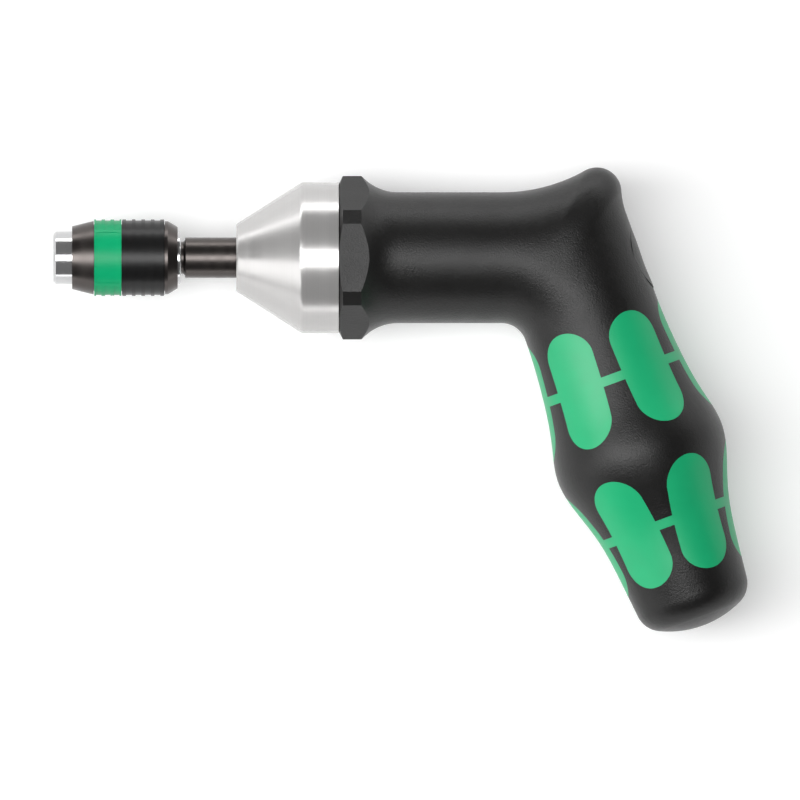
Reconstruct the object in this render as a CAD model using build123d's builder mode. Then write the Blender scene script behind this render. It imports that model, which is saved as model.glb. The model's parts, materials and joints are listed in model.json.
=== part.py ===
from build123d import *
from math import cos, pi, radians, sin, sqrt, tan
import os

# Torque screwdriver with a pistol handle and a quick-release bit chuck, in millimetres.
# The origin is on the drive axis at the mouth of the bit socket. X runs back along the
# drive axis, Y points away from the grip, and Z out of the side that faces up at rest.

# Clearances
running_gap = 0.05
seat_gap = 0.02
end_gap = 0.05
free_gap = 0.3
ball_gap = 0.03

# Chuck body and bit socket
chuck_radius = 5.5
chuck_chamfer = 0.5
bit_across_flats = 6.35
socket_depth = 18.0
magnet_radius = 2.9
magnet_length = 2.4
magnet_gap = 0.1
spigot_across_flats = 5.8
spigot_length = 6.05

# Ball lock in the chuck
lock_ball_radius = 1.25
bit_notch_height = 6.5
sleeve_travel = 2.4
land_length = 0.9
recess_length = 3.8
stop_land_length = 1.75
stop_land_radius = 5.8
snap_ring_thickness = 0.8
snap_ring_depth = 0.45
snap_ring_height = 0.55
snap_ring_opening = 4.0
front_groove_start = 5.25
sleeve_washer_thickness = 0.5
chuck_spring_wire = 0.22
chuck_spring_turns = 3

# Chuck sleeve and the rings on it, from the nose back
sleeve_start = 3.9
cone_length = 4.5
cone_front_radius = 6.55
cone_rear_radius = 7.67
mouth_radius = 6.2
sleeve_tube_radius = 6.95
ring_slit = 0.1
colour_ring_length = 5.65
colour_rib_count = 4
colour_rib_pitch = 1.88
grip_rib_count = 5
grip_rib_pitch = 1.97
rib_radius = 7.97
groove_radius = 7.76
rib_width = 0.75
label_half_angle = 47.0
label_edge = 0.5
label_recess = 0.1
cap_length = 2.65
cap_radius = 7.62
cap_land = 0.6
cap_end_radius = 6.4
cap_spigot_length = 0.6
chuck_end_show = 0.7

# Drive shaft
neck_radius = 3.35
neck_length = 0.5
neck_cone = 0.35
shaft_radius = 4.21
shaft_chamfer = 0.15
flange_radius = 8.4
flange_thickness = 1.65
disc_seat_length = 3.6
disc_seat_flats = 7.0
tail_radius = 3.0
tail_length = 9.5
tail_chamfer = 0.4
disc_clip_thickness = 0.8
disc_clip_radius = 4.6
disc_clip_depth = 0.4
disc_clip_opening = 3.6

# Nose housing, seal and bush
housing_start = 38.05
housing_front_radius = 7.2
housing_radius = 15.7
housing_cone_run = 13.6
housing_edge_radius = 1.6
housing_chamfer = 0.3
seal_inset = 0.35
seal_length = 1.05
seal_radius = 5.35
seal_wall = 0.75
bush_radius = 5.8

# Clutch and the tube that it works in
collar_start = 59.35
tube_start = 49.5
tube_length = 49.5
tube_radius = 11.3
tube_bore_radius = 9.7
slot_depth = 0.8
slot_width = 3.1
slot_count = 3
thrust_washer_thickness = 1.4
thrust_washer_radius = 9.4
cam_disc_radius = 9.0
clutch_ball_radius = 1.5
clutch_ball_count = 6
clutch_pocket_count = 12
clutch_pitch_radius = 6.7
pocket_depth = 0.6
cup_depth = 1.0
clutch_plate_thickness = 4.4
clutch_plate_radius = 9.3
clutch_washer_thickness = 1.2
clutch_washer_radius = 9.1
main_spring_wire = 1.15
main_spring_radius = 7.8
main_spring_length = 22.8
main_spring_turns = 6

# Torque adjuster
spring_seat_thickness = 4.0
seat_forward_travel = 4.0
seat_rear_travel = 1.0
screw_radius = 3.0
screw_flange_radius = 6.4
screw_flange_thickness = 2.0
screw_journal_radius = 4.0
screw_tail_length = 2.0
screw_key_flats = 4.0
screw_key_depth = 3.5
spanner_hole_count = 2
spanner_hole_radius = 0.9
spanner_hole_depth = 3.0

# Collar with six flats at the front of the handle
collar_flat_count = 6
collar_flat_distance = 15.55
collar_corner_distance = 17.0
collar_chamfer_run = 0.85
collar_chamfer_rise = 1.65
collar_width = 5.2
collar_flare_radius = 10.0
collar_flare_angle = 45.0

# Barrel, elbow and grip, with runs along the grip measured from the drive axis
barrel_radius = 13.63
cartridge_radius = 11.35
grip_lean = 20.0
elbow_x = 107.22
inside_bend_radius = 5.2
horn_radius = 5.1
horn_setback = 5.84
horn_lift = 0.07
back_sweep_height = 4.6
elbow_section_count = 6
grip_top_radius = 14.37
grip_waist_radius = 14.85
grip_waist_run = 22.9
hip_shoulder_radius = 16.72
hip_shoulder_run = 35.6
hip_radius = 18.1
hip_run = 42.9
calf_radius = 15.3
calf_run = 54.5
ankle_radius = 12.6
ankle_run = 70.0
ankle_taper = 6.0
heel_length = 11.45
grip_end_dome = 20.8
grip_end_edge = 5.5

# Soft pads let into the grip, six round it in each of two rows
pad_count = 6
pad_width = 11.0
pad_depth = 1.6
pad_link_width = 2.0
upper_pad_run = 14.5
upper_pad_length = 24.5
lower_pad_length = 24.0
lower_pad_past_ankle = 0.7

# Rear access to the torque adjuster
access_radius = 5.0
plug_radius = 6.2
plug_depth = 6.5
plug_spigot_length = 4.0
plug_spigot_wall = 1.4

# Places along the drive axis
socket_flats = bit_across_flats + 2 * running_gap
spigot_start = socket_depth + magnet_length + magnet_gap
chuck_length = spigot_start + spigot_length
colour_ring_start = sleeve_start + cone_length + ring_slit
grip_ring_start = colour_ring_start + colour_ring_length + ring_slit
cap_start = chuck_length - chuck_end_show - cap_length
grip_ring_length = cap_start - ring_slit - grip_ring_start
neck_end = chuck_length + neck_length
seal_start = housing_start + seal_inset
seal_end = seal_start + seal_length
bush_start = seal_end + seal_wall
bush_length = tube_start - bush_start
tube_end = tube_start + tube_length
flange_start = tube_start + thrust_washer_thickness + end_gap
disc_start = flange_start + flange_thickness
disc_end = disc_start + disc_seat_length
clutch_ball_x = disc_end + clutch_ball_radius - pocket_depth
clutch_plate_start = clutch_ball_x + clutch_ball_radius - cup_depth
clutch_washer_start = clutch_plate_start + clutch_plate_thickness
main_spring_start = clutch_washer_start + clutch_washer_thickness
spring_seat_start = main_spring_start + main_spring_length
spring_seat_end = spring_seat_start + spring_seat_thickness
screw_start = spring_seat_start - seat_forward_travel - tail_chamfer
screw_flange_start = spring_seat_end + seat_rear_travel + end_gap
screw_flange_end = screw_flange_start + screw_flange_thickness
end_plug_start = screw_flange_end + end_gap
end_plug_length = tube_end - end_plug_start
screw_end = tube_end + screw_tail_length
slot_start = clutch_plate_start - free_gap
slot_length = screw_flange_start - slot_start

# Ball lock: the land holds the balls in the corners of the socket, and as the sleeve slides
# forward its ramp follows them out into the recess
socket_corner = socket_flats / 2 / cos(pi / 6)
land_radius = chuck_radius + running_gap
lock_ball_x = socket_depth - bit_notch_height
lock_ball_rest = land_radius - ball_gap - lock_ball_radius
lock_ball_travel = socket_corner - (lock_ball_rest - lock_ball_radius)
ramp_slope = lock_ball_travel / sleeve_travel
ramp_lead = (lock_ball_radius + ball_gap) * (sqrt(1 + ramp_slope**2) - 1) / ramp_slope
recess_radius = land_radius + lock_ball_travel
ramp_start = lock_ball_x - ramp_lead
land_start = ramp_start - land_length
recess_start = ramp_start + lock_ball_travel / ramp_slope
recess_end = recess_start + recess_length
stop_land_end = recess_end + stop_land_length
stop_groove_start = stop_land_end + end_gap
front_groove_end = front_groove_start + snap_ring_thickness
washer_start = land_start - sleeve_washer_thickness

# Elbow in the middle plane: the point round which its sections fan, and its crest. The crest
# sweeps up from the barrel, round the horn and down to the back of the grip in three arcs
grip_line = Vector(sin(radians(grip_lean)), -cos(radians(grip_lean)))
grip_back = Vector(cos(radians(grip_lean)), sin(radians(grip_lean)))
elbow_point = Vector(elbow_x, 0)
bend_y = -(barrel_radius + inside_bend_radius)
bend_reach = grip_top_radius + inside_bend_radius + bend_y * sin(radians(grip_lean))
bend_centre = Vector(elbow_x - bend_reach / cos(radians(grip_lean)), bend_y)
grip_start = (bend_centre - elbow_point).dot(grip_line)
horn_centre = elbow_point + Vector(horn_setback, barrel_radius + horn_lift)
crest_start = Vector(bend_centre.X, barrel_radius)
back_start = elbow_point - grip_line * back_sweep_height + grip_back * grip_top_radius
back_end = elbow_point + grip_line * grip_start + grip_back * grip_top_radius
grip_end_run = ankle_run + heel_length
lower_pad_run = ankle_run + lower_pad_past_ankle - lower_pad_length
grip_plane = Plane(elbow_point, x_dir=grip_line, z_dir=(0, 0, 1))
grip_axis = Axis(elbow_point, grip_line)
plug_start = elbow_x + grip_top_radius / cos(radians(grip_lean)) - plug_depth

os.makedirs("parts", exist_ok=True)


def finish(piece, label):
    """Label a finished piece and write it to its own file."""
    piece.part.label = label
    export_step(piece.part, f"parts/{label}.step")


def ring(start, length, outer, inner, mode=Mode.ADD):
    """A plain ring about the drive axis, from start along X."""
    with BuildSketch(Plane.YZ.offset(start)) as face:
        Circle(outer)
        if inner > 0:
            Circle(inner, mode=Mode.SUBTRACT)
    extrude(face.sketch, amount=length, mode=mode)


def hole(start, length, radius):
    """A round hole along the drive axis."""
    ring(start, length, radius, 0, mode=Mode.SUBTRACT)


def turned(*points, mode=Mode.ADD):
    """A closed outline of (x, radius) points, turned about the drive axis."""
    with BuildSketch() as face:
        with BuildLine():
            Polyline(*points, close=True)
        make_face()
    revolve(face.sketch, axis=Axis.X, mode=mode)


def hexagon(start, length, across_flats, mode=Mode.ADD):
    """A hexagon prism along the drive axis, with corners at its top and bottom."""
    with BuildSketch(Plane.YZ.offset(start)) as face:
        RegularPolygon(across_flats / 2, 6, major_radius=False, rotation=30)
    extrude(face.sketch, amount=length, mode=mode)


def flatted(start, length, radius, across_flats, mode=Mode.ADD):
    """A round bar along the drive axis with two flats."""
    with BuildSketch(Plane.YZ.offset(start)) as face:
        Circle(radius)
        Rectangle(across_flats, 2 * radius, mode=Mode.INTERSECT)
    extrude(face.sketch, amount=length, mode=mode)


def split_ring(start, thickness, inner, outer, opening):
    """A snap ring about the drive axis, open at its lower side."""
    ring(start, thickness, outer, inner)
    with Locations((start + thickness / 2, -(inner + outer) / 2, 0)):
        Box(2 * thickness, 2 * (outer - inner), opening, mode=Mode.SUBTRACT)


def coil(start, length, radius, wire, turns):
    """A helical spring of flat-sided wire along the drive axis, just clear of both its seats."""
    rise = length - 2 * (wire + seat_gap)
    first = start + wire + seat_gap
    with BuildLine() as path:
        Helix(rise / turns, rise, radius, center=(first, 0, 0), direction=(1, 0, 0))
    with BuildSketch(Plane(path.line @ 0, x_dir=(1, 0, 0), z_dir=path.line % 0)) as section:
        Rectangle(2 * wire, 2 * wire)
    sweep(section.sketch, path=path.line, is_frenet=True)


def lugs(start, length, reach, width, mode=Mode.ADD):
    """The lugs of a plate that slides in the tube, or the slots that they run in."""
    with Locations(Plane.YZ.offset(start)):
        with PolarLocations(0, slot_count, start_angle=90):
            Box(reach, width, length, align=(Align.MIN, Align.CENTER, Align.MIN), mode=mode)


def sliding_plate(start, thickness, bore):
    """A round plate that slides in the tube and can't turn in it."""
    lug_reach = tube_bore_radius + slot_depth - 2 * running_gap
    ring(start, thickness, clutch_plate_radius, 0)
    lugs(start, thickness, lug_reach, slot_width - 2 * running_gap)
    hole(start, thickness, bore)


def clutch_spheres(count, radius, mode=Mode.ADD):
    """The circle of clutch balls, or the pockets that they sit in."""
    with Locations(Plane.YZ.offset(clutch_ball_x)):
        with PolarLocations(clutch_pitch_radius, count):
            Sphere(radius, mode=mode)


def ribs(start, length, count, pitch):
    """Ribs round a chuck ring, evenly spread about its middle and cut off at its ends."""
    first = start + length / 2 - (count - 1) / 2 * pitch
    for place in range(count):
        middle = first + place * pitch
        rib_start = max(start, middle - rib_width / 2)
        rib_end = min(start + length, middle + rib_width / 2)
        ring(rib_start, rib_end - rib_start, rib_radius, groove_radius - seat_gap)


def sweep_meets_horn(start, outward):
    """Where an arc that leaves a straight line at start meets the horn's arc smoothly."""
    across = horn_centre - start
    reach = horn_radius + across.dot(outward)
    sweep_radius = (across.length**2 - horn_radius**2) / (2 * reach)
    centre = start + outward * sweep_radius
    return centre + (horn_centre - centre).normalized() * sweep_radius


def elbow_section(share):
    """The elbow's section on the spoke that ends at this share of the crest's length."""
    spoke = crest @ share - bend_centre
    outward = spoke.normalized()
    half_height = (spoke.length - inside_bend_radius) / 2
    half_width = min(half_height, barrel_radius + (grip_top_radius - barrel_radius) * share)
    middle = bend_centre + outward * (inside_bend_radius + half_height)
    with BuildSketch(Plane(middle, x_dir=outward, z_dir=outward.cross(Vector(0, 0, 1)))) as face:
        Ellipse(half_height, half_width)
    return face.sketch


def grip_turned(inset, mode=Mode.ADD):
    """The grip turned about its own axis, with its surface moved in by inset."""
    with BuildSketch(grip_plane) as face:
        with BuildLine():
            dome_centre = grip_end_run - grip_end_dome
            tip = (grip_end_run - inset, 0)
            flank_direction = (1, -tan(radians(ankle_taper)))
            flank = Spline(
                (grip_start, grip_top_radius - inset),
                (grip_waist_run, grip_waist_radius - inset),
                (hip_shoulder_run, hip_shoulder_radius - inset),
                (hip_run, hip_radius - inset),
                (calf_run, calf_radius - inset),
                (ankle_run, ankle_radius - inset),
                tangents=[(1, 0), flank_direction],
            )
            dome = CenterArc(
                (dome_centre, 0), grip_end_dome - inset, 0, 90, mode=Mode.PRIVATE
            )
            ankle = IntersectingLine(flank @ 1, flank_direction, dome)
            RadiusArc(ankle @ 1, tip, grip_end_dome - inset)
            Polyline(tip, (grip_start, 0), flank @ 0)
        make_face()
        fillet(face.vertices().sort_by_distance(ankle @ 1)[0], grip_end_edge)
    revolve(face.sketch, axis=grip_axis, mode=mode)


def grip_pads(pad_run, pad_length):
    """A row of six pads linked by a narrow band, cut to a skin of the grip."""
    reach = hip_radius + pad_depth
    middle = elbow_point + grip_line * (pad_run + pad_length / 2)
    for place in range(pad_count):
        turn = 2 * pi * (place + 0.5) / pad_count
        outward = Vector(0, 0, 1) * cos(turn) + grip_back * sin(turn)
        with BuildSketch(Plane(middle, x_dir=grip_line, z_dir=outward)) as pad:
            SlotOverall(pad_length, pad_width)
        extrude(pad.sketch, amount=reach)
    with BuildSketch(Plane(middle, z_dir=grip_line)) as band:
        Circle(reach)
    extrude(band.sketch, amount=pad_link_width / 2, both=True)
    grip_turned(0, mode=Mode.INTERSECT)
    grip_turned(pad_depth, mode=Mode.SUBTRACT)


# Chuck body: a hexagon socket, two radial ball seats and the pressed joint with the shaft
with BuildPart() as chuck_body:
    ring(0, chuck_length, chuck_radius, 0)
    chamfer(chuck_body.edges().group_by(Axis.X)[0], chuck_chamfer)
    chamfer(chuck_body.edges().group_by(Axis.X)[-1], chuck_chamfer / 2)
    hexagon(0, socket_depth, socket_flats, mode=Mode.SUBTRACT)
    hole(socket_depth, spigot_start - socket_depth, magnet_radius + seat_gap)
    hexagon(spigot_start, spigot_length, spigot_across_flats + 2 * seat_gap, mode=Mode.SUBTRACT)
    for outward in (1, -1):
        with Locations(Plane((lock_ball_x, 0, outward * lock_ball_rest), z_dir=(0, 0, outward))):
            Sphere(lock_ball_radius + ball_gap, mode=Mode.SUBTRACT)
            Cylinder(
                lock_ball_radius + ball_gap,
                chuck_radius,
                align=(Align.CENTER, Align.CENTER, Align.MIN),
                mode=Mode.SUBTRACT,
            )
    for groove_start in (front_groove_start, stop_groove_start):
        ring(
            groove_start,
            snap_ring_thickness,
            chuck_radius + free_gap,
            chuck_radius - snap_ring_depth,
            mode=Mode.SUBTRACT,
        )
finish(chuck_body, "chuck_body")

with BuildPart() as bit_magnet:
    ring(socket_depth, magnet_length, magnet_radius, 0)
finish(bit_magnet, "bit_magnet")

for number, outward in ((1, 1), (2, -1)):
    with BuildPart() as locking_ball:
        with Locations((lock_ball_x, 0, outward * lock_ball_rest)):
            Sphere(lock_ball_radius)
    finish(locking_ball, f"locking_ball_{number}")

# Snap rings on the chuck body: one carries the sleeve's spring, the other stops the sleeve
snap_ring_sizes = (
    snap_ring_thickness - 2 * seat_gap,
    chuck_radius - snap_ring_depth + seat_gap,
    chuck_radius + snap_ring_height,
    snap_ring_opening,
)
with BuildPart() as spring_snap_ring:
    split_ring(front_groove_start + seat_gap, *snap_ring_sizes)
finish(spring_snap_ring, "spring_snap_ring")

with BuildPart() as stop_snap_ring:
    split_ring(stop_groove_start + seat_gap, *snap_ring_sizes)
finish(stop_snap_ring, "stop_snap_ring")

with BuildPart() as sleeve_washer:
    ring(washer_start, sleeve_washer_thickness, mouth_radius - 2 * running_gap, land_radius)
finish(sleeve_washer, "sleeve_washer")

with BuildPart() as chuck_spring:
    coil(
        front_groove_end,
        washer_start - front_groove_end,
        (chuck_radius + mouth_radius) / 2,
        chuck_spring_wire,
        chuck_spring_turns,
    )
finish(chuck_spring, "chuck_spring")

# Chuck sleeve: a turned tube with its front cone, the land, the ramp and the stop land
with BuildPart() as chuck_sleeve:
    turned(
        (sleeve_start, mouth_radius),
        (sleeve_start, cone_front_radius),
        (sleeve_start + cone_length, cone_rear_radius),
        (sleeve_start + cone_length, sleeve_tube_radius),
        (cap_start, sleeve_tube_radius),
        (cap_start, recess_radius),
        (stop_land_end, recess_radius),
        (stop_land_end, stop_land_radius),
        (recess_end, stop_land_radius),
        (recess_end, recess_radius),
        (recess_start, recess_radius),
        (ramp_start, land_radius),
        (land_start, land_radius),
        (land_start, mouth_radius),
    )
finish(chuck_sleeve, "chuck_sleeve")

# Colour ring: ribs round it, and on two sides a plain field with a raised border
label_half_width = rib_radius * sin(radians(label_half_angle))
label_height = 2 * (rib_radius + free_gap)
ring_bore_radius = sleeve_tube_radius + seat_gap
with BuildPart() as chuck_colour_ring:
    ring(colour_ring_start, colour_ring_length, groove_radius, ring_bore_radius)
    ribs(colour_ring_start, colour_ring_length, colour_rib_count, colour_rib_pitch)
    with BuildSketch(Plane.YZ.offset(colour_ring_start)) as label_face:
        Circle(rib_radius)
        Circle(groove_radius - seat_gap, mode=Mode.SUBTRACT)
        Rectangle(2 * label_half_width, label_height, mode=Mode.INTERSECT)
    extrude(amount=colour_ring_length)
    with BuildSketch(Plane.YZ.offset(colour_ring_start + label_edge)) as field_face:
        Circle(rib_radius + free_gap)
        Circle(rib_radius - label_recess, mode=Mode.SUBTRACT)
        Rectangle(2 * (label_half_width - label_edge), label_height, mode=Mode.INTERSECT)
    extrude(amount=colour_ring_length - 2 * label_edge, mode=Mode.SUBTRACT)
finish(chuck_colour_ring, "chuck_colour_ring")

with BuildPart() as chuck_grip_ring:
    ring(grip_ring_start, grip_ring_length, groove_radius, ring_bore_radius)
    ribs(grip_ring_start, grip_ring_length, grip_rib_count, grip_rib_pitch)
finish(chuck_grip_ring, "chuck_grip_ring")

with BuildPart() as chuck_rear_cap:
    turned(
        (cap_start - cap_spigot_length, land_radius),
        (cap_start - cap_spigot_length, recess_radius - seat_gap),
        (cap_start, recess_radius - seat_gap),
        (cap_start, cap_radius),
        (cap_start + cap_land, cap_radius),
        (cap_start + cap_length, cap_end_radius),
        (cap_start + cap_length, land_radius),
    )
finish(chuck_rear_cap, "chuck_rear_cap")

# Drive shaft: pressed into the chuck, carried by the bush, with a flange behind it
with BuildPart() as drive_shaft:
    hexagon(spigot_start + end_gap, spigot_length - end_gap, spigot_across_flats)
    turned(
        (chuck_length, 0),
        (chuck_length, neck_radius),
        (neck_end, neck_radius),
        (neck_end + neck_cone, neck_radius + neck_cone),
        (neck_end + neck_cone, shaft_radius - shaft_chamfer),
        (neck_end + neck_cone + shaft_chamfer, shaft_radius),
        (flange_start, shaft_radius),
        (flange_start, flange_radius),
        (disc_start, flange_radius),
        (disc_start, 0),
    )
    flatted(disc_start, disc_seat_length, shaft_radius, disc_seat_flats)
    turned(
        (disc_end, 0),
        (disc_end, tail_radius),
        (disc_end + tail_length - tail_chamfer, tail_radius),
        (disc_end + tail_length, tail_radius - tail_chamfer),
        (disc_end + tail_length, 0),
    )
    ring(
        disc_end,
        disc_clip_thickness,
        tail_radius + free_gap,
        tail_radius - disc_clip_depth,
        mode=Mode.SUBTRACT,
    )
finish(drive_shaft, "drive_shaft")

with BuildPart() as cam_disc:
    ring(disc_start, disc_seat_length, cam_disc_radius, 0)
    flatted(
        disc_start,
        disc_seat_length,
        shaft_radius + seat_gap,
        disc_seat_flats + 2 * seat_gap,
        mode=Mode.SUBTRACT,
    )
    clutch_spheres(clutch_pocket_count, clutch_ball_radius + ball_gap, mode=Mode.SUBTRACT)
finish(cam_disc, "cam_disc")

with BuildPart() as cam_disc_clip:
    split_ring(
        disc_end + seat_gap,
        disc_clip_thickness - 2 * seat_gap,
        tail_radius - disc_clip_depth + seat_gap,
        disc_clip_radius,
        disc_clip_opening,
    )
finish(cam_disc_clip, "cam_disc_clip")

# Clutch: balls held in the plate's cups drop into the cam disc's pockets
with BuildPart() as clutch_balls:
    clutch_spheres(clutch_ball_count, clutch_ball_radius)
finish(clutch_balls, "clutch_balls")

with BuildPart() as clutch_plate:
    sliding_plate(clutch_plate_start, clutch_plate_thickness, tail_radius + running_gap)
    clutch_spheres(clutch_ball_count, clutch_ball_radius + ball_gap, mode=Mode.SUBTRACT)
finish(clutch_plate, "clutch_plate")

with BuildPart() as clutch_washer:
    ring(
        clutch_washer_start,
        clutch_washer_thickness,
        clutch_washer_radius,
        tail_radius + free_gap,
    )
finish(clutch_washer, "clutch_washer")

with BuildPart() as main_spring:
    coil(
        main_spring_start,
        main_spring_length,
        main_spring_radius,
        main_spring_wire,
        main_spring_turns,
    )
finish(main_spring, "main_spring")

# Torque adjuster: a screw held by the end plug draws the spring seat along the tube
with BuildPart() as spring_seat:
    sliding_plate(spring_seat_start, spring_seat_thickness, screw_radius + running_gap)
finish(spring_seat, "spring_seat")

with BuildPart() as adjusting_screw:
    turned(
        (screw_start, 0),
        (screw_start, screw_radius - tail_chamfer),
        (screw_start + tail_chamfer, screw_radius),
        (screw_flange_start, screw_radius),
        (screw_flange_start, screw_flange_radius),
        (screw_flange_end, screw_flange_radius),
        (screw_flange_end, screw_journal_radius),
        (screw_end, screw_journal_radius),
        (screw_end, 0),
    )
    hexagon(screw_end - screw_key_depth, screw_key_depth, screw_key_flats, mode=Mode.SUBTRACT)
finish(adjusting_screw, "adjusting_screw")

with BuildPart() as end_plug:
    ring(
        end_plug_start,
        end_plug_length,
        tube_bore_radius - seat_gap,
        screw_journal_radius + running_gap,
    )
    with Locations(Plane.YZ.offset(tube_end)):
        with PolarLocations((tube_bore_radius + screw_journal_radius) / 2, spanner_hole_count):
            Hole(spanner_hole_radius, spanner_hole_depth)
finish(end_plug, "end_plug")

with BuildPart() as mechanism_tube:
    ring(tube_start, tube_length, tube_radius, tube_bore_radius)
    lugs(slot_start, slot_length, tube_bore_radius + slot_depth, slot_width, mode=Mode.SUBTRACT)
finish(mechanism_tube, "mechanism_tube")

with BuildPart() as thrust_washer:
    ring(
        tube_start,
        thrust_washer_thickness,
        thrust_washer_radius,
        shaft_radius + free_gap,
    )
finish(thrust_washer, "thrust_washer")

# Nose housing: a turned cone bored for the seal, the bush and the front of the tube
with BuildPart() as nose_housing:
    with BuildSketch() as housing_face:
        shoulder = (housing_start + housing_cone_run, housing_radius)
        with BuildLine():
            Polyline(
                (housing_start, 0),
                (housing_start, housing_front_radius - housing_chamfer),
                (housing_start + housing_chamfer, housing_front_radius),
                shoulder,
                (collar_start, housing_radius),
                (collar_start, 0),
                close=True,
            )
        make_face()
        fillet(housing_face.vertices().sort_by_distance(shoulder)[0], housing_edge_radius)
    revolve(axis=Axis.X)
    hole(housing_start, seal_inset + seal_length, seal_radius + seat_gap)
    hole(seal_end, seal_wall, shaft_radius + free_gap)
    hole(bush_start, bush_length, bush_radius + seat_gap)
    hole(tube_start, collar_start - tube_start, tube_radius + seat_gap)
finish(nose_housing, "nose_housing")

with BuildPart() as shaft_seal:
    ring(seal_start, seal_length, seal_radius, shaft_radius + running_gap)
finish(shaft_seal, "shaft_seal")

with BuildPart() as front_bush:
    ring(bush_start, bush_length, bush_radius, shaft_radius + running_gap)
finish(front_bush, "front_bush")

# Elbow: ellipses fanned round the inside bend, lofted from the barrel to the tip of the horn
# and from there to the grip
crest_meet = sweep_meets_horn(crest_start, Vector(0, 1))
back_meet = sweep_meets_horn(back_start, grip_back)
with BuildLine() as crest_line:
    sweep_arc = TangentArc(crest_start, crest_meet, tangent=(1, 0))
    horn_arc = TangentArc(crest_meet, back_meet, tangent=sweep_arc % 1)
    TangentArc(back_meet, back_start, tangent=horn_arc % 1)
    Line(back_start, back_end)
crest = crest_line.wires()[0]
horn_share = (sweep_arc.length + horn_arc.length / 2) / crest.length
with BuildPart() as elbow:
    for low, high in ((0, horn_share), (horn_share, 1)):
        stretch = (high - low) / elbow_section_count
        loft([elbow_section(low + stretch * step) for step in range(elbow_section_count + 1)])

# Soft pads, each row moulded as one piece
with BuildPart() as grip_inlay_upper:
    grip_pads(upper_pad_run, upper_pad_length)
finish(grip_inlay_upper, "grip_inlay_upper")

with BuildPart() as grip_inlay_lower:
    grip_pads(lower_pad_run, lower_pad_length)
finish(grip_inlay_lower, "grip_inlay_lower")

# Handle moulding: the six-flat collar, the barrel, the elbow and the grip
collar_top = collar_corner_distance / cos(pi / 2 / collar_flat_count)
chamfer_slope = collar_chamfer_run / collar_chamfer_rise
chamfer_base = collar_corner_distance - collar_chamfer_rise
flare_start = collar_start + collar_width
flare_length = collar_flare_radius * sin(radians(collar_flare_angle))
flare_base = barrel_radius + collar_flare_radius * (1 - cos(radians(collar_flare_angle)))
flare_lead = (collar_top - flare_base) / tan(radians(collar_flare_angle))
flare_centre = (flare_start + flare_length, barrel_radius + collar_flare_radius)
with BuildPart() as handle_body:
    for apothem, turn, mode in (
        (collar_flat_distance, 0, Mode.ADD),
        (collar_corner_distance, 180 / collar_flat_count, Mode.INTERSECT),
    ):
        with BuildSketch(Plane.YZ.offset(collar_start)) as collar_face:
            RegularPolygon(apothem, collar_flat_count, major_radius=False, rotation=turn)
        extrude(amount=collar_width + collar_flare_radius, mode=mode)
    with BuildSketch() as collar_envelope:
        with BuildLine():
            flare = CenterArc(
                flare_centre, collar_flare_radius, 270 - collar_flare_angle, collar_flare_angle
            )
            Polyline(
                flare @ 0,
                (flare_start - flare_lead, collar_top),
                (collar_start + (collar_top - chamfer_base) * chamfer_slope, collar_top),
                (collar_start, chamfer_base),
                (collar_start, 0),
                (flare_start + collar_flare_radius, 0),
                (flare_start + collar_flare_radius, barrel_radius),
                flare @ 1,
            )
        make_face()
    revolve(axis=Axis.X, mode=Mode.INTERSECT)
    ring(flare_centre[0], bend_centre.X - flare_centre[0], barrel_radius, 0)
    add(elbow.part)
    grip_turned(0)
    add(grip_inlay_upper.part, mode=Mode.SUBTRACT)
    add(grip_inlay_lower.part, mode=Mode.SUBTRACT)
    hole(collar_start, tube_end - collar_start, cartridge_radius)
    hole(tube_end, plug_start - tube_end, access_radius)
    hole(plug_start, 2 * plug_depth, plug_radius + running_gap)
finish(handle_body, "handle_body")

# Rear plug: flush with the back of the elbow, with a hollow spigot that holds it in
with BuildPart() as rear_plug:
    add(elbow.part)
    ring(plug_start, 2 * plug_depth, plug_radius, 0, mode=Mode.INTERSECT)
    ring(
        plug_start - plug_spigot_length,
        plug_spigot_length,
        access_radius - running_gap,
        access_radius - plug_spigot_wall,
    )
finish(rear_plug, "rear_plug")
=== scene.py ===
import json
from math import cos, pi, radians, sin

import bpy
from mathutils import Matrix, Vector


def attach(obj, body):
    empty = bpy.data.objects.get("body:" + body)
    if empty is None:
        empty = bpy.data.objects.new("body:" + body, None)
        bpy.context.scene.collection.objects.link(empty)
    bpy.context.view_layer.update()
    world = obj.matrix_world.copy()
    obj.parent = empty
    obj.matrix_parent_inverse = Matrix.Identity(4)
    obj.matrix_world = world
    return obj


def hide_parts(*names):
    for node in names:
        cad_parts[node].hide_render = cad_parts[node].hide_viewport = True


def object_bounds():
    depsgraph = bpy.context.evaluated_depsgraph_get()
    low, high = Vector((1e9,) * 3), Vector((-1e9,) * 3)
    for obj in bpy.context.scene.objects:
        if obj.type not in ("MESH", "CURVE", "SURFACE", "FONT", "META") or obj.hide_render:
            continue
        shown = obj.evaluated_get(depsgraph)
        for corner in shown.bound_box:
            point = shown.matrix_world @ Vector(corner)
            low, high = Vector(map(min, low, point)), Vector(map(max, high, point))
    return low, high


# Looks of the torque screwdriver. Lengths are in metres, in the frame of the CAD part:
# the drive axis is X, the tool lies on its side, and the camera looks straight down on it.

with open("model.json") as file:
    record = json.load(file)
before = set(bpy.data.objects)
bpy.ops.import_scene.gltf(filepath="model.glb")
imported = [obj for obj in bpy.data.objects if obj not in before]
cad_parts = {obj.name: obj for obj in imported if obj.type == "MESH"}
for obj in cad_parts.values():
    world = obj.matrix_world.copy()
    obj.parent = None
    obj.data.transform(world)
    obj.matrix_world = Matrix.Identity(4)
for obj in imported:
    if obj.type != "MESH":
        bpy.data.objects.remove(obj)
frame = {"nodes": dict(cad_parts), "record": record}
cad_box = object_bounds()

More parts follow.
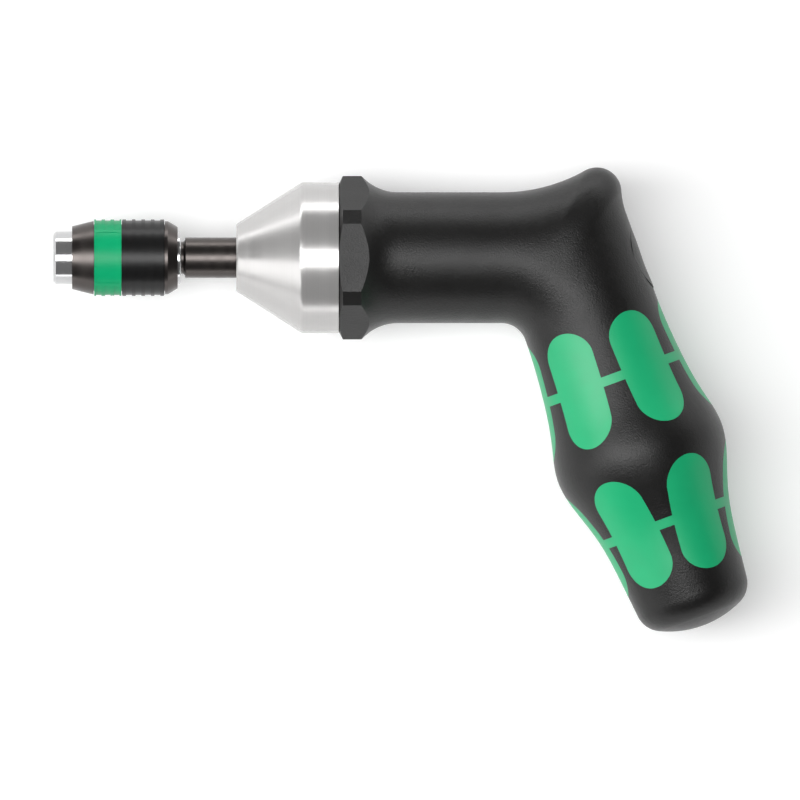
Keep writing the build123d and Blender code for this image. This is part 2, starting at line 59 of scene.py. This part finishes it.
# Colours, as the surfaces read in plain light
HANDLE_BLACK = (0.0062, 0.0060, 0.0058)
RING_BLACK = (0.0052, 0.0052, 0.0054)
SEAL_BLACK = (0.0100, 0.0100, 0.0100)
INLAY_GREEN = (0.0010, 0.4050, 0.1600)
RING_GREEN = (0.0010, 0.3500, 0.1400)
HOUSING_METAL = (0.5000, 0.4930, 0.4860)
CHROME_METAL = (0.5400, 0.5400, 0.5450)
DARK_METAL = (0.0850, 0.0760, 0.0725)
STEEL_METAL = (0.5600, 0.5600, 0.5700)
SPRING_METAL = (0.3800, 0.3850, 0.4000)
BRONZE_METAL = (0.6200, 0.4300, 0.2300)
MAGNET_METAL = (0.4500, 0.4400, 0.4300)
FLOOR_WHITE = (0.7400, 0.7400, 0.7400)
PURE_WHITE = (1.0, 1.0, 1.0, 1.0)

# Most of a noise's values lie between these two
NOISE_LOW = 0.25
NOISE_HIGH = 0.75

# What the moulded pieces share: a slow waviness under their grain
WAVE_PER_GRAIN = 14
WAVE_HEIGHT_PER_GRAIN = 2.0
WAVE_STRENGTH = 0.35
WAVE_COLOUR = 0.08
WAVE_ROUGHNESS = 0.025

# What the turned pieces share: bands of duller and brighter marks, and a faint unevenness
BAND_PER_GROOVE = 9
BAND_ROUGHNESS = 0.05
GROOVE_STRENGTH = 0.7
UNEVENNESS_SIZE = 0.004
UNEVENNESS_PER_GROOVE = 0.8
UNEVENNESS_STRENGTH = 0.3

# What the ground pieces share: clouds in their colour and their gloss
CLOUD_PER_GRAIN = 20
CLOUD_COLOUR = 0.06
CLOUD_ROUGHNESS = 0.04
GROUND_STRENGTH = 0.5


class Surface:
    """A node material with one Principled shader, built up by short calls."""

    def __init__(self, name, colour, roughness, metallic=0.0, specular=0.5):
        self.material = bpy.data.materials.new(name)
        self.material.use_nodes = True
        self.tree = self.material.node_tree
        self.shader = self.tree.nodes["Principled BSDF"]
        self.colour = colour
        self.roughness = roughness
        self.shader.inputs["Base Color"].default_value = (*colour, 1.0)
        self.shader.inputs["Roughness"].default_value = roughness
        self.shader.inputs["Metallic"].default_value = metallic
        self.shader.inputs["Specular IOR Level"].default_value = specular
        self.place = self.tree.nodes.new("ShaderNodeTexCoord").outputs["Object"]
        self.normal = None

    def link(self, source, target):
        self.tree.links.new(source, target)

    def along_and_round(self):
        """Coordinates for turned pieces: along the drive axis, and out from it."""
        split = self.tree.nodes.new("ShaderNodeSeparateXYZ")
        self.link(self.place, split.inputs["Vector"])
        flat = self.tree.nodes.new("ShaderNodeCombineXYZ")
        self.link(split.outputs["Y"], flat.inputs["X"])
        self.link(split.outputs["Z"], flat.inputs["Y"])
        length = self.tree.nodes.new("ShaderNodeVectorMath")
        length.operation = "LENGTH"
        self.link(flat.outputs["Vector"], length.inputs[0])
        both = self.tree.nodes.new("ShaderNodeCombineXYZ")
        self.link(split.outputs["X"], both.inputs["X"])
        self.link(length.outputs["Value"], both.inputs["Y"])
        return both.outputs["Vector"]

    def noise(self, size, detail=2.0, vector=None, roughness=0.5):
        """Noise whose grains are about size metres across."""
        node = self.tree.nodes.new("ShaderNodeTexNoise")
        node.inputs["Scale"].default_value = 1.0 / size
        node.inputs["Detail"].default_value = detail
        node.inputs["Roughness"].default_value = roughness
        self.link(self.place if vector is None else vector, node.inputs["Vector"])
        return node.outputs["Fac"]

    def spread(self, source, low, high, out_low, out_high):
        """Map a value from one range to another."""
        node = self.tree.nodes.new("ShaderNodeMapRange")
        node.inputs["From Min"].default_value = low
        node.inputs["From Max"].default_value = high
        node.inputs["To Min"].default_value = out_low
        node.inputs["To Max"].default_value = out_high
        self.link(source, node.inputs["Value"])
        return node.outputs["Result"]

    def greater(self, one, other):
        """The greater of two values."""
        node = self.tree.nodes.new("ShaderNodeMath")
        node.operation = "MAXIMUM"
        self.link(one, node.inputs[0])
        self.link(other, node.inputs[1])
        return node.outputs["Value"]

    def vary_colour(self, source, amount):
        """Lighten and darken the colour a little with a noise."""
        mix = self.tree.nodes.new("ShaderNodeMix")
        mix.data_type = "RGBA"
        dark = tuple(part * (1 - amount) for part in self.colour)
        light = tuple(min(1.0, part * (1 + amount)) for part in self.colour)
        mix.inputs["A"].default_value = (*dark, 1.0)
        mix.inputs["B"].default_value = (*light, 1.0)
        self.link(source, mix.inputs["Factor"])
        self.link(mix.outputs["Result"], self.shader.inputs["Base Color"])

    def vary_roughness(self, source, amount):
        """Make the gloss a little uneven with a noise."""
        low, high = self.roughness - amount, self.roughness + amount
        out = self.spread(source, NOISE_LOW, NOISE_HIGH, low, high)
        self.link(out, self.shader.inputs["Roughness"])

    def bump(self, source, height, strength=1.0):
        """Add a bump of a real height in metres to those already there."""
        node = self.tree.nodes.new("ShaderNodeBump")
        node.inputs["Strength"].default_value = strength
        node.inputs["Distance"].default_value = height
        self.link(source, node.inputs["Height"])
        if self.normal is not None:
            self.link(self.normal, node.inputs["Normal"])
        self.normal = node.outputs["Normal"]
        self.link(self.normal, self.shader.inputs["Normal"])


def moulded_plastic(name, colour, roughness, specular, grain, height):
    """Moulded plastic or rubber: a fine even grain over a slow waviness."""
    surface = Surface(name, colour, roughness, specular=specular)
    fine = surface.noise(grain, detail=3.0, roughness=0.6)
    slow = surface.noise(grain * WAVE_PER_GRAIN)
    surface.vary_colour(slow, WAVE_COLOUR)
    surface.vary_roughness(slow, WAVE_ROUGHNESS)
    surface.bump(slow, height * WAVE_HEIGHT_PER_GRAIN, WAVE_STRENGTH)
    surface.bump(fine, height)
    return surface.material


def turned_metal(name, colour, roughness, groove, height, streak=0.06, metallic=1.0):
    """Lathe-turned metal: fine marks that run round the drive axis."""
    surface = Surface(name, colour, roughness, metallic=metallic)
    coordinates = surface.along_and_round()
    marks = surface.noise(groove, detail=4.0, vector=coordinates, roughness=0.65)
    bands = surface.noise(groove * BAND_PER_GROOVE, vector=coordinates)
    unevenness = surface.noise(UNEVENNESS_SIZE)
    surface.vary_colour(marks, streak)
    surface.vary_roughness(bands, BAND_ROUGHNESS)
    surface.bump(marks, height, GROOVE_STRENGTH)
    surface.bump(unevenness, height * UNEVENNESS_PER_GROOVE, UNEVENNESS_STRENGTH)
    return surface.material


def ground_metal(name, colour, roughness, grain, height):
    """Ground or tumbled metal with no direction in its marks."""
    surface = Surface(name, colour, roughness, metallic=1.0)
    fine = surface.noise(grain, detail=3.0)
    cloud = surface.noise(grain * CLOUD_PER_GRAIN)
    surface.vary_colour(cloud, CLOUD_COLOUR)
    surface.vary_roughness(cloud, CLOUD_ROUGHNESS)
    surface.bump(fine, height, GROUND_STRENGTH)
    return surface.material


# One row for each slot. Plastics and rubbers: roughness, specular, grain and its height.
# Turned metals: roughness, groove and its height, then streak and metallic where they differ
PLASTICS = {
    "black_handle": ("handle_plastic", HANDLE_BLACK, 0.38, 0.36, 0.00036, 0.00008),
    "green_inlay": ("inlay_rubber", INLAY_GREEN, 0.44, 0.58, 0.00040, 0.000016),
    "black_ring": ("grip_ring_plastic", RING_BLACK, 0.34, 0.32, 0.00030, 0.000010),
    "green_plastic": ("colour_ring_plastic", RING_GREEN, 0.38, 0.24, 0.00030, 0.000006),
    "seal_rubber": ("seal_rubber", SEAL_BLACK, 0.60, 0.35, 0.00025, 0.000010),
}
TURNED_METALS = {
    "brushed_housing": ("turned_housing", HOUSING_METAL, 0.24, 0.00022, 0.0000022, 0.08, 0.6),
    "bright_chrome": ("bright_chrome", CHROME_METAL, 0.14, 0.00030, 0.0000010, 0.03, 0.85),
    "dark_steel": ("blackened_steel", DARK_METAL, 0.33, 0.00020, 0.000003, 0.10),
    "bronze_bush": ("bronze", BRONZE_METAL, 0.30, 0.00025, 0.000003),
    "inner_steel": ("inner_steel", STEEL_METAL, 0.28, 0.00025, 0.000003),
}
# One row for each node with a metal of its own: roughness, grain and its height
NODE_METALS = {
    "main_spring": ("spring_steel", SPRING_METAL, 0.32, 0.00040, 0.000006),
    "chuck_spring": ("chuck_spring_steel", SPRING_METAL, 0.30, 0.00030, 0.000003),
    "clutch_balls": ("ball_steel", STEEL_METAL, 0.10, 0.00030, 0.000001),
    "locking_ball_1": ("lock_ball_steel", STEEL_METAL, 0.10, 0.00030, 0.000001),
    "bit_magnet": ("magnet_nickel", MAGNET_METAL, 0.25, 0.00030, 0.000002),
}
MATERIALS = {slot: moulded_plastic(*row) for slot, row in PLASTICS.items()}
MATERIALS.update({slot: turned_metal(*row) for slot, row in TURNED_METALS.items()})
NODE_MATERIALS = {node: ground_metal(*row) for node, row in NODE_METALS.items()}
NODE_MATERIALS["locking_ball_2"] = NODE_MATERIALS["locking_ball_1"]


def dress_nodes():
    """Give each CAD node the procedural material of its slot, or one of its own."""
    slots = {row["node"]: row["material_slot"] for row in frame["record"]["subparts"]}
    for node, piece in frame["nodes"].items():
        material = NODE_MATERIALS.get(node, MATERIALS[slots[node]])
        piece.data.materials.clear()
        piece.data.materials.append(material)


# The elbow, with the CAD part's own sizes. Its crest sweeps up from the barrel, round the horn
# and down to the back of the grip, and its sections fan round the inside of the bend
BARREL_RADIUS = 0.01363
GRIP_TOP_RADIUS = 0.01437
GRIP_LEAN = radians(20.0)
ELBOW_POINT = Vector((0.10722, 0.0, 0.0))
INSIDE_BEND_RADIUS = 0.0052
HORN_RADIUS = 0.0051
HORN_PAST_ELBOW = 0.00584
HORN_ABOVE_BARREL = 0.00007
HORN_CENTRE = ELBOW_POINT + Vector((HORN_PAST_ELBOW, BARREL_RADIUS + HORN_ABOVE_BARREL, 0.0))
BACK_SWEEP_HEIGHT = 0.0046
GRIP_LINE = Vector((sin(GRIP_LEAN), -cos(GRIP_LEAN), 0.0))
GRIP_BACK = Vector((cos(GRIP_LEAN), sin(GRIP_LEAN), 0.0))
SIDEWAYS = Vector((0.0, 0.0, 1.0))
# Steps along the crest: from the barrel to the horn, round the horn, down from it, along the back
CREST_STEPS = (44, 30, 30, 36)
RING_STEPS = 144

# The handle's bores, and the rear plug's, which is cut into the new elbow
TUBE_BORE_END = 0.099
TUBE_BORE_RADIUS = 0.01135
ACCESS_BORE_RADIUS = 0.005
PLUG_BORE_RADIUS = 0.00625
PLUG_BORE_DEPTH = 0.0065
PLUG_BORE_START = ELBOW_POINT.x + GRIP_TOP_RADIUS / cos(GRIP_LEAN) - PLUG_BORE_DEPTH
CUTTER_LENGTH = 0.03
CIRCLE_SIDES = 96

SHARP_ANGLE = radians(40.0)
SAME_PLACE = 0.00001


def bend_centre():
    """The point in the middle plane from which the elbow's sections fan out."""
    down = -(BARREL_RADIUS + INSIDE_BEND_RADIUS)
    reach = GRIP_TOP_RADIUS + INSIDE_BEND_RADIUS + down * sin(GRIP_LEAN)
    return Vector((ELBOW_POINT.x - reach / cos(GRIP_LEAN), down, 0.0))


def arc(centre, radius, first, last, steps):
    """Points on an arc, from one direction to another as seen from its centre."""
    return [centre + first.slerp(last, step / steps) * radius for step in range(steps + 1)]


def sweep_to_horn(start, outward, steps):
    """The arc that leaves a straight line at start and meets the horn's arc smoothly."""
    across = HORN_CENTRE - start
    radius = (across.length_squared - HORN_RADIUS**2) / (2 * (HORN_RADIUS + across.dot(outward)))
    centre = start + outward * radius
    return arc(centre, radius, -outward, (HORN_CENTRE - centre).normalized(), steps)


def crest():
    """Points along the crest, each with its share of the crest's length."""
    fan = bend_centre()
    rise_steps, horn_steps, fall_steps, back_steps = CREST_STEPS
    to_back = GRIP_BACK * GRIP_TOP_RADIUS
    back_start = ELBOW_POINT - GRIP_LINE * BACK_SWEEP_HEIGHT + to_back
    back_end = ELBOW_POINT + GRIP_LINE * (fan - ELBOW_POINT).dot(GRIP_LINE) + to_back
    rise = sweep_to_horn(Vector((fan.x, BARREL_RADIUS, 0.0)), Vector((0.0, 1.0, 0.0)), rise_steps)
    fall = sweep_to_horn(back_start, GRIP_BACK, fall_steps)[::-1]
    horn_start = (rise[-1] - HORN_CENTRE).normalized()
    horn_end = (fall[0] - HORN_CENTRE).normalized()
    horn = arc(HORN_CENTRE, HORN_RADIUS, horn_start, horn_end, horn_steps)
    back = [back_start.lerp(back_end, step / back_steps) for step in range(back_steps + 1)]
    points = rise + horn[1:] + fall[1:] + back[1:]
    lengths = [0.0]
    for one, other in zip(points, points[1:]):
        lengths.append(lengths[-1] + (other - one).length)
    return [(point, length / lengths[-1]) for point, length in zip(points, lengths)]


def elbow_ring(point, share):
    """One section: half a circle on the side of the bend, half an ellipse out to the crest."""
    fan = bend_centre()
    outward = (point - fan).normalized()
    height = (point - fan).length - INSIDE_BEND_RADIUS
    half_width = min(height / 2, BARREL_RADIUS + (GRIP_TOP_RADIUS - BARREL_RADIUS) * share)
    middle = fan + outward * (INSIDE_BEND_RADIUS + half_width)
    ring = []
    for step in range(RING_STEPS):
        turn = 2 * pi * step / RING_STEPS
        reach = height - half_width if cos(turn) > 0 else half_width
        ring.append(middle + outward * (cos(turn) * reach) + SIDEWAYS * (sin(turn) * half_width))
    return ring


def elbow_solid():
    """The elbow as a closed body: one ring after the other, and a face over each end."""
    rings = [elbow_ring(point, share) for point, share in crest()]
    places = [place for ring in rings for place in ring]
    faces = []
    for row in range(len(rings) - 1):
        near, far = row * RING_STEPS, (row + 1) * RING_STEPS
        for step in range(RING_STEPS):
            beside = (step + 1) % RING_STEPS
            faces.append((near + step, near + beside, far + beside, far + step))
    faces.append(tuple(reversed(range(RING_STEPS))))
    faces.append(tuple(range((len(rings) - 1) * RING_STEPS, len(rings) * RING_STEPS)))
    solid = bpy.data.meshes.new("elbow_solid")
    solid.from_pydata(places, [], faces)
    body = bpy.data.objects.new("elbow_solid", solid)
    bpy.context.scene.collection.objects.link(body)
    return body


def elbow_skin():
    """The elbow's mesh, with the bore for the rear plug cut into it."""
    body = elbow_solid()
    bpy.ops.mesh.primitive_cylinder_add(
        vertices=CIRCLE_SIDES,
        radius=PLUG_BORE_RADIUS,
        depth=CUTTER_LENGTH,
        location=(PLUG_BORE_START + CUTTER_LENGTH / 2, 0, 0),
        rotation=(0, pi / 2, 0),
    )
    cutter = bpy.context.object
    cut = body.modifiers.new("plug_bore", "BOOLEAN")
    cut.operation = "DIFFERENCE"
    cut.solver = "EXACT"
    cut.object = cutter
    bpy.context.view_layer.update()
    finished = body.evaluated_get(bpy.context.evaluated_depsgraph_get())
    skin = bpy.data.meshes.new_from_object(finished)
    for helper in (body, cutter):
        bpy.data.objects.remove(helper)
    return skin


def on_elbow_end(places):
    """Whether a face lies in one of the two planes where the elbow ends, or on the bore's floor."""
    fan = bend_centre()
    return (
        all(abs(place.x - fan.x) < SAME_PLACE for place in places)
        or all(abs((place - fan).dot(GRIP_LINE)) < SAME_PLACE for place in places)
        or all(abs(place.x - PLUG_BORE_START) < SAME_PLACE for place in places)
    )


def on_cad_elbow(places):
    """Whether a face of the CAD handle belongs to the elbow's outside or to the plug's bore."""
    fan = bend_centre()
    middle = sum(places, Vector()) / len(places)
    if middle.x < fan.x + SAME_PLACE or (middle - fan).dot(GRIP_LINE) > -SAME_PLACE:
        return False
    from_axis = Vector((middle.y, middle.z)).length
    if middle.x < TUBE_BORE_END + SAME_PLACE:
        return from_axis > TUBE_BORE_RADIUS
    floor_of_bore = abs(middle.x - PLUG_BORE_START) < SAME_PLACE and from_axis < PLUG_BORE_RADIUS
    return from_axis > ACCESS_BORE_RADIUS and not floor_of_bore


def make_handle():
    """The CAD handle with its elbow made again, in sections that are blunt at the inside of the
    bend and run out to the crest, so that the shape flows round the bend without a crease. The
    CAD's faces keep their own normals, and the new ones get theirs from the mesh."""
    cad = frame["nodes"]["handle_body"].data
    places = [vertex.co.copy() for vertex in cad.vertices]
    corner_normals = [Vector(corner.vector) for corner in cad.corner_normals]
    faces, normals = [], []
    for face in cad.polygons:
        if not on_cad_elbow([places[index] for index in face.vertices]):
            faces.append(tuple(face.vertices))
            normals.extend(corner_normals[index] for index in face.loop_indices)
    skin = elbow_skin()
    first = len(places)
    places.extend(vertex.co.copy() for vertex in skin.vertices)
    for face in skin.polygons:
        if not on_elbow_end([skin.vertices[index].co for index in face.vertices]):
            faces.append(tuple(first + index for index in face.vertices))
            normals.extend(Vector() for _ in face.vertices)
    used = sorted({index for face in faces for index in face})
    new_index = {index: place for place, index in enumerate(used)}
    mesh = bpy.data.meshes.new("handle_moulding")
    mesh.from_pydata(
        [places[index] for index in used],
        [],
        [tuple(new_index[index] for index in face) for face in faces],
    )
    mesh.shade_smooth()
    mesh.set_sharp_from_angle(angle=SHARP_ANGLE)
    mesh.normals_split_custom_set(normals)
    handle = bpy.data.objects.new("handle_moulding", mesh)
    bpy.context.scene.collection.objects.link(handle)
    mesh.materials.append(MATERIALS["black_handle"])
    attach(handle, "handle")
    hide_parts("handle_body")


# The floor and the wall round it. Each is lifted by its own glow, so that it reads as plain white
FLOOR_SIZE = 6.0
FLOOR_GLOW = 0.34
WALL_RADIUS = 2.95
WALL_TOP = 0.5
WALL_FOOT = -1.4
WALL_GLOW = 0.95
STAGE_ROUGHNESS = 0.8
STAGE_SPECULAR = 0.1

# The lamps, as direction from the tool, distance, size and radiance. A size is given across and
# up as seen from the tool. The overhead lamp's lies across the barrel first, then along it
WORLD_STRENGTH = 0.09
LAMP_CENTRE = Vector((0.07, -0.02, 0.0))
LAMPS = {
    "overhead_box": ((-0.36, 0.0, 1.0), 1.2, (0.52, 1.6), 7.0),
    "far_side_box": ((0.0, 1.0, 0.1), 1.0, (2.4, 0.22), 4.2),
    "near_side_box": ((0.0, -1.0, 0.1), 1.0, (2.4, 0.20), 1.2),
    "front_box": ((-0.87, -0.33, 0.42), 1.0, (0.6, 0.4), 2.4),
}

# The photograph's framing
VIEW_CENTRE = (0.0721, -0.0296)
VIEW_WIDTH = 0.1664
CAMERA_HEIGHT = 0.45
CAMERA_NEAR = 0.01
CAMERA_FAR = 10.0


def staged_white(name, glow):
    """White that glows a little for what looks at it: the camera, metal and glass."""
    surface = Surface(name, FLOOR_WHITE, STAGE_ROUGHNESS, specular=STAGE_SPECULAR)
    rays = surface.tree.nodes.new("ShaderNodeLightPath").outputs
    reflected = surface.greater(rays["Is Glossy Ray"], rays["Is Transmission Ray"])
    seen = surface.greater(rays["Is Camera Ray"], reflected)
    surface.shader.inputs["Emission Color"].default_value = PURE_WHITE
    strength = surface.spread(seen, 0.0, 1.0, 0.0, glow)
    surface.link(strength, surface.shader.inputs["Emission Strength"])
    return surface.material


def make_stage():
    """A white floor just under the tool, and a low white wall round it for the side views."""
    floor_height = cad_box[0][2]
    bpy.ops.mesh.primitive_plane_add(size=FLOOR_SIZE, location=(0, 0, floor_height))
    floor = bpy.context.object
    floor.name = "floor"
    floor.data.materials.append(staged_white("floor_white", FLOOR_GLOW))
    bpy.ops.mesh.primitive_cylinder_add(
        vertices=CIRCLE_SIDES,
        radius=WALL_RADIUS,
        depth=WALL_TOP - WALL_FOOT,
        end_fill_type="NOTHING",
        location=(0, 0, (WALL_TOP + WALL_FOOT) / 2),
    )
    wall = bpy.context.object
    wall.name = "backdrop"
    wall.data.materials.append(staged_white("backdrop_white", WALL_GLOW))


def area_lamp(name, direction, distance, size, radiance):
    """A soft box in a direction from the tool. Its radiance is what a mirror would show."""
    lamp = bpy.data.lights.new(name, "AREA")
    lamp.shape = "RECTANGLE"
    lamp.size, lamp.size_y = size
    lamp.energy = radiance * size[0] * size[1] * pi
    holder = bpy.data.objects.new(name, lamp)
    bpy.context.scene.collection.objects.link(holder)
    towards = Vector(direction).normalized()
    holder.location = LAMP_CENTRE + towards * distance
    holder.rotation_euler = towards.to_track_quat("Z", "Y").to_euler()


def make_light():
    """A faint even world, and the soft boxes."""
    world = bpy.data.worlds.new("studio")
    world.use_nodes = True
    background = world.node_tree.nodes["Background"]
    background.inputs["Color"].default_value = PURE_WHITE
    background.inputs["Strength"].default_value = WORLD_STRENGTH
    bpy.context.scene.world = world
    for name, lamp in LAMPS.items():
        area_lamp(name, *lamp)


def make_camera():
    """A camera straight above the tool, without perspective."""
    camera = bpy.data.cameras.new("camera")
    camera.type = "ORTHO"
    camera.ortho_scale = VIEW_WIDTH
    camera.clip_start = CAMERA_NEAR
    camera.clip_end = CAMERA_FAR
    holder = bpy.data.objects.new("camera", camera)
    holder.location = (*VIEW_CENTRE, CAMERA_HEIGHT)
    bpy.context.scene.collection.objects.link(holder)
    bpy.context.scene.camera = holder


dress_nodes()
make_handle()
make_stage()
make_light()
make_camera()
bpy.context.scene.view_settings.view_transform = "Standard"
